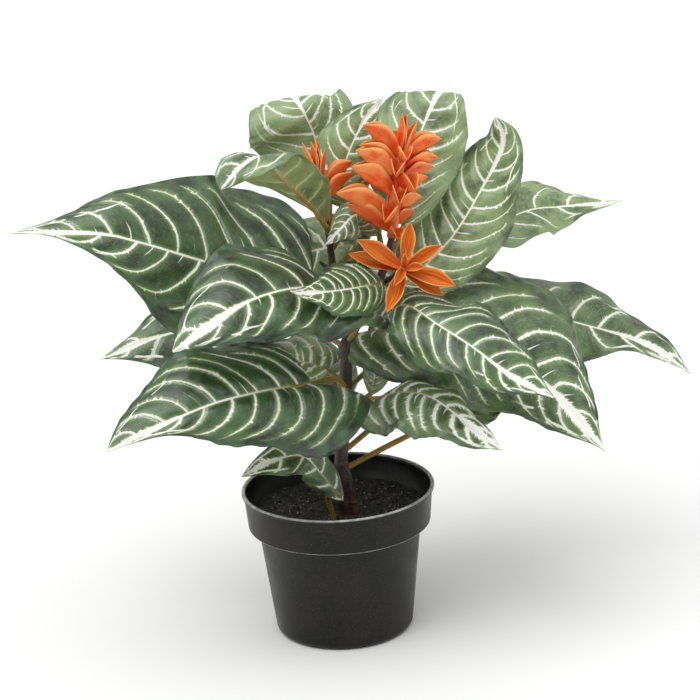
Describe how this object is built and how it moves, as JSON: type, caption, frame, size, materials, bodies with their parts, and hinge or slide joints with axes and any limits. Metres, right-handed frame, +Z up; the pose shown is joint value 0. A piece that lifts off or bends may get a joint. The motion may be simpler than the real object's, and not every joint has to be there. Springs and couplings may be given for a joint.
{
  "type": "potted aphelandra",
  "caption": "Zebra plant in a black nursery pot: dark leaves with cream veins around a forked stem, and orange four-ranked blooms.",
  "frame": {"origin": "centre of the pot's flat bottom, where it rests", "axes": "+Z up along the pot's axis, +X to the right and -Y towards the viewer as in the picture"},
  "size_m": [0.4536, 0.2592, 0.3608],
  "materials": {
    "pot": "semi-matt black moulded plastic",
    "soil": "dark crumbly potting mix",
    "stem": "purple-brown bark",
    "leaf": "satin dark green with cream veins",
    "bloom": "waxy orange-red bracts with yellow edges"
  },
  "bodies": {
    "root": {"pot": "pot", "soil": "soil", "stem": "stem", "bloom_cone": "bloom", "bloom_spike": "bloom", "bloom_star": "bloom", "leaf_left_long": "leaf", "leaf_centre_left": "leaf", "leaf_upper_left": "leaf", "leaf_top_left": "leaf", "leaf_top_mid": "leaf", "leaf_top_right": "leaf", "leaf_right_upright": "leaf", "leaf_right_back": "leaf", "leaf_right_far": "leaf", "leaf_right_big": "leaf", "leaf_centre_right": "leaf", "leaf_low_right": "leaf", "leaf_low_left": "leaf", "leaf_left_back": "leaf", "leaf_bottom_left": "leaf", "leaf_small_centre": "leaf", "leaf_small_low": "leaf", "leaf_under_cone": "leaf", "leaf_behind_trunk": "leaf", "leaf_behind_stem": "leaf", "leaf_low_back_right": "leaf", "leaf_back_left": "leaf", "leaf_low_right_hidden": "leaf", "leaf_back_low": "leaf", "leaf_back_mid": "leaf", "leaf_back_right_low": "leaf"}
  },
  "joints": []
}
